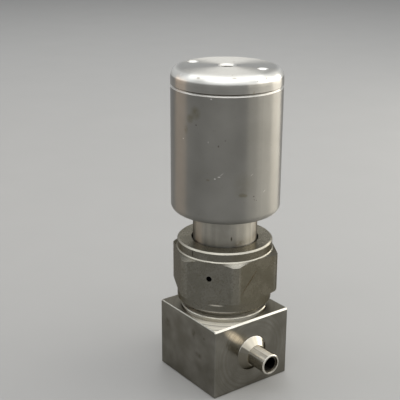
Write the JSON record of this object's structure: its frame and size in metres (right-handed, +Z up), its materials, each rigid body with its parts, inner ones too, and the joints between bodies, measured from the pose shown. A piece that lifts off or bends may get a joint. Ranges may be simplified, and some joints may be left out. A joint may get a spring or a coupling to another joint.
{
  "type": "bellows sealed valve",
  "caption": "Bellows sealed shut-off valve: square block body with in-line tube stubs, bonnet under a hexagon nut, spring-closed air actuator with a ported cap.",
  "frame": {"origin": "middle of the block's flat base, on the stem axis", "axes": "+Z up along the stem axis to the actuator cap, +X along the flow out of the outlet stub, +Y completes a right-handed set"},
  "size_m": [0.0464, 0.0332, 0.0979],
  "materials": {
    "block_steel": "milled stainless steel, satin, turning marks round the stubs",
    "nut_steel": "turned and milled stainless steel, darker satin",
    "bonnet_steel": "turned and polished stainless steel",
    "cylinder_aluminium": "turned aluminium, clear anodised, fine satin with small stains and nicks",
    "cap_aluminium": "turned aluminium, clear anodised, faced top",
    "inner_aluminium": "turned, plain",
    "inner_steel": "turned stainless steel",
    "bellows_steel": "thin formed stainless steel",
    "gasket_metal": "soft stainless steel ring",
    "spring_steel": "drawn and coiled spring steel",
    "seal_rubber": "black elastomer",
    "tip_plastic": "hard pale fluoropolymer",
    "bush_plastic": "dark plain bearing plastic"
  },
  "bodies": {
    "valve": {"valve_body": "block_steel", "bellows_gasket": "gasket_metal", "bellows_weld_ring": "inner_steel", "bellows": "bellows_steel", "stem_guide_bush": "bush_plastic", "bonnet": "bonnet_steel", "bonnet_nut": "nut_steel", "actuator_cylinder": "cylinder_aluminium", "actuator_cap": "cap_aluminium", "divider_plate": "inner_aluminium", "divider_snap_ring": "spring_steel", "outer_return_spring": "spring_steel", "inner_return_spring": "spring_steel", "cap_seal": "seal_rubber", "rod_top_seal": "seal_rubber", "divider_rim_seal": "seal_rubber", "divider_rod_seal": "seal_rubber", "rod_foot_seal": "seal_rubber", "bonnet_seal": "seal_rubber"},
    "stem_group": {"stem_head": "inner_steel", "stem_tip": "tip_plastic", "valve_stem": "inner_steel", "piston_rod": "inner_steel", "lower_piston": "inner_aluminium", "upper_piston": "inner_aluminium", "lower_piston_clip": "spring_steel", "upper_piston_clip": "spring_steel", "upper_piston_seal": "seal_rubber", "upper_piston_rod_seal": "seal_rubber", "lower_piston_seal": "seal_rubber", "lower_piston_rod_seal": "seal_rubber"}
  },
  "joints": [
    {"name": "stem_lift", "type": "slide", "parent": "valve", "child": "stem_group", "axis": [0, 0, 1], "range_m": [0, 0.0015], "stiffness_N_per_m": 400, "springref_m": -0.004, "deforming": ["bellows", "outer_return_spring", "inner_return_spring"]}
  ]
}
